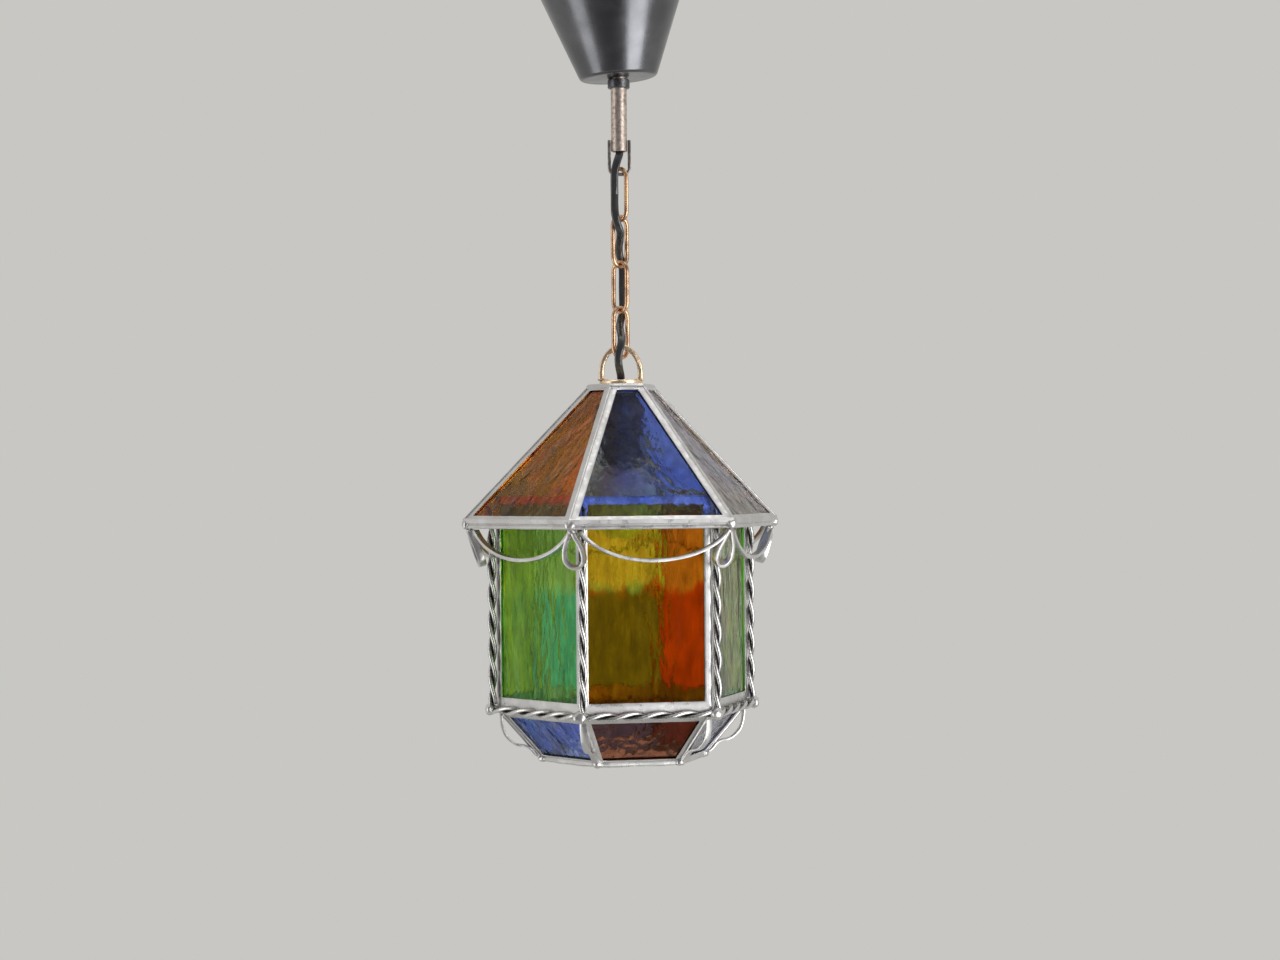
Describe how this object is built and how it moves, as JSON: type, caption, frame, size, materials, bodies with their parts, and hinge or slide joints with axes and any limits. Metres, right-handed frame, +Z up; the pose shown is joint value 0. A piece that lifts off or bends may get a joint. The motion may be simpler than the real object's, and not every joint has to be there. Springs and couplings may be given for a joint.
{
  "type": "hanging lantern ceiling light",
  "caption": "Hanging lantern of coloured leaded glass with a sloping roof, twisted-wire corners and strip festoons, on a chain and lamp tube under a cone-shaped canopy",
  "frame": {"origin": "the point where the hanger eye bears on the ceiling's hook", "axes": "+Z is up, -Y is the flat front side of the lantern, +X is a corner of its plan"},
  "size_m": [0.2, 0.1732, 0.4954],
  "materials": {
    "canopy_black": "black satin enamel",
    "dark_steel": "darkened steel",
    "nickel": "worn nickel plate",
    "chain_steel": "tarnished brass-plated steel",
    "brass": "pale soldered brass",
    "solder": "tinned and polished solder",
    "block_plastic": "plain moulded",
    "holder_plastic": "moulded, ribbed",
    "cable_black": "glossy flexible sheath",
    "bulb_glass": "soft white lamp glass",
    "glass_amber": "streaky cathedral glass",
    "glass_green": "streaky cathedral glass",
    "glass_blue": "streaky cathedral glass",
    "glass_amethyst": "streaky cathedral glass"
  },
  "bodies": {
    "hanger": {"hanger_eye": "dark_steel", "hanger_nut": "dark_steel", "terminal_block": "block_plastic", "tube": "nickel", "stirrup": "dark_steel", "cable": "cable_black"},
    "collar_body": {"collar": "dark_steel", "collar_screw": "dark_steel"},
    "canopy_body": {"canopy": "canopy_black"},
    "link_1": {"chain_link_1": "chain_steel"},
    "link_2": {"chain_link_2": "chain_steel"},
    "link_3": {"chain_link_3": "chain_steel"},
    "link_4": {"chain_link_4": "chain_steel"},
    "lantern": {"cap_loop": "brass", "cap_plate": "brass", "nipple": "nickel", "nipple_nut": "nickel", "lampholder": "holder_plastic", "bulb": "bulb_glass", "roof_frame": "solder", "roof_glass_1": "glass_blue", "roof_glass_2": "glass_amber", "roof_glass_3": "glass_blue", "roof_glass_4": "glass_amber", "roof_glass_5": "glass_blue", "roof_glass_6": "glass_amber", "body_frame": "solder", "body_glass_1": "glass_amber", "body_glass_2": "glass_green", "body_glass_3": "glass_amber", "body_glass_4": "glass_green", "body_glass_5": "glass_amber", "body_glass_6": "glass_green", "skirt_frame": "solder", "skirt_glass_1": "glass_amethyst", "skirt_glass_2": "glass_blue", "skirt_glass_3": "glass_amethyst", "skirt_glass_4": "glass_blue", "skirt_glass_5": "glass_amethyst", "skirt_glass_6": "glass_blue", "bottom_twist": "solder", "corner_twist_1": "solder", "corner_twist_2": "solder", "corner_twist_3": "solder", "corner_twist_4": "solder", "corner_twist_5": "solder", "corner_twist_6": "solder", "garland_1": "solder", "garland_2": "solder", "garland_3": "solder", "garland_4": "solder", "garland_5": "solder", "garland_6": "solder", "skirt_scroll_1": "solder", "skirt_scroll_2": "solder", "skirt_scroll_3": "solder", "skirt_scroll_4": "solder", "skirt_scroll_5": "solder", "skirt_scroll_6": "solder"}
  },
  "joints": [
    {"name": "collar_slide", "type": "slide", "parent": "hanger", "child": "collar_body", "axis": [0, 0, 1], "range_m": [-0.0318, 0]},
    {"name": "canopy_tilt", "type": "hinge", "parent": "collar_body", "child": "canopy_body", "pos_m": [0, 0, -0.049], "axis": [-0.2113, -0.9774, 0], "range_deg": [-8.4, 0]},
    {"name": "link_1_swing", "type": "hinge", "parent": "hanger", "child": "link_1", "pos_m": [0, 0, -0.10895], "axis": [0.9903, -0.1392, 0], "range_deg": [-12, 12], "deforming": ["cable"]},
    {"name": "link_2_swing", "type": "hinge", "parent": "link_1", "child": "link_2", "pos_m": [0, 0, -0.1381], "axis": [0.5417, -0.8406, 0], "range_deg": [-12, 12]},
    {"name": "link_3_swing", "type": "hinge", "parent": "link_2", "child": "link_3", "pos_m": [0, 0, -0.16665], "axis": [0.8406, 0.5417, 0], "range_deg": [-12, 12]},
    {"name": "link_4_swing", "type": "hinge", "parent": "link_3", "child": "link_4", "pos_m": [0, 0, -0.1952], "axis": [0.5417, -0.8406, 0], "range_deg": [-12, 12]},
    {"name": "lantern_swing", "type": "hinge", "parent": "link_4", "child": "lantern", "pos_m": [0, 0, -0.22375], "axis": [0.8406, 0.5417, 0], "range_deg": [-10, 10]}
  ]
}
